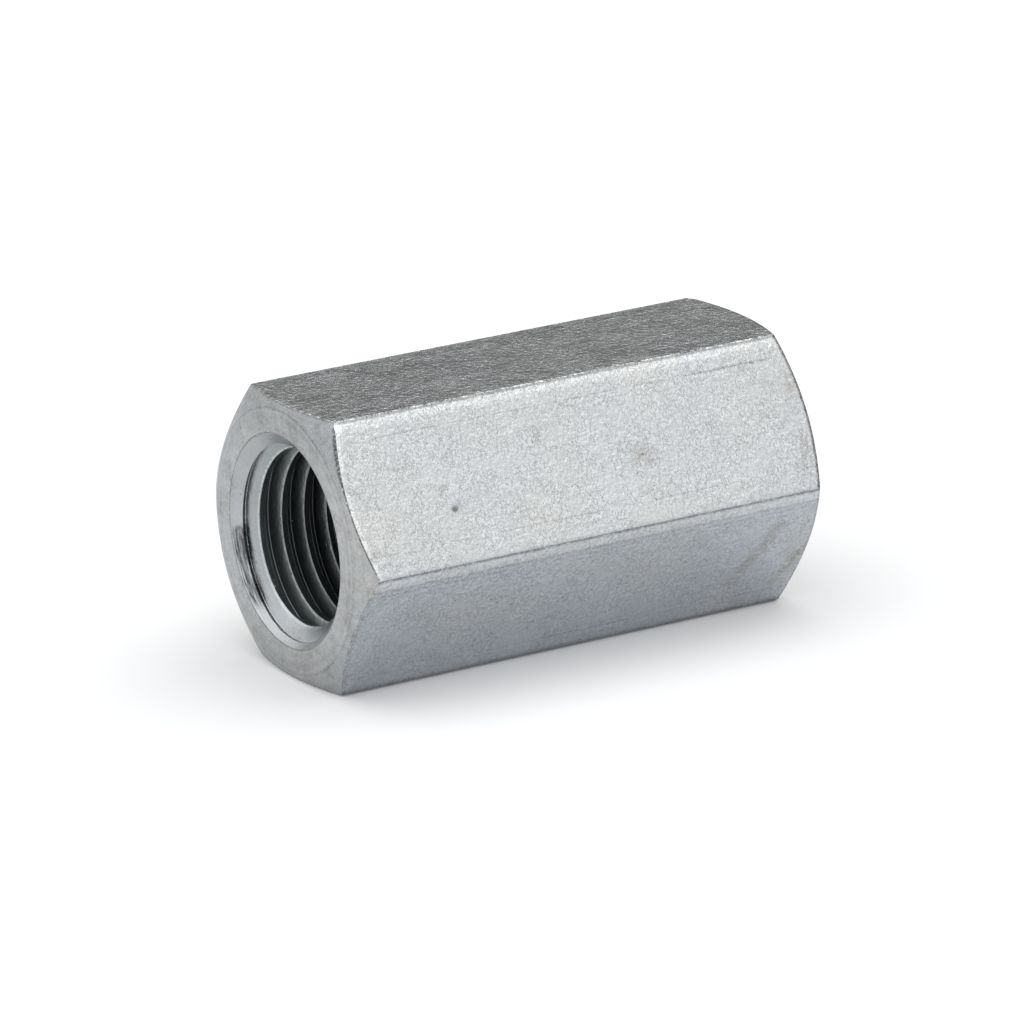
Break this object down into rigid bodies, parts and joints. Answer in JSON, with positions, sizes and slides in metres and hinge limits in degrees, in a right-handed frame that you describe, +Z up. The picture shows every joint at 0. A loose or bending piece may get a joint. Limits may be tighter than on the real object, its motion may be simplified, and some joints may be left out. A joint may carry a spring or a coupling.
{
  "type": "coupling nut",
  "caption": "Long hexagonal steel nut, threaded right through and countersunk at each end, that joins threaded rods end to end.",
  "frame": {"origin": "on the thread axis, midway between the two end faces", "axes": "+X along the thread axis, from the end nearest in the picture to the far one; +Z up, square to the upper flat, with the nut lying on the opposite flat"},
  "size_m": [0.042, 0.0252, 0.022],
  "materials": {
    "zinc_plate": "zinc plated drawn bar, satin, with lengthwise draw lines and fine grain"
  },
  "bodies": {
    "root": {"coupling_nut": "zinc_plate"}
  },
  "joints": []
}
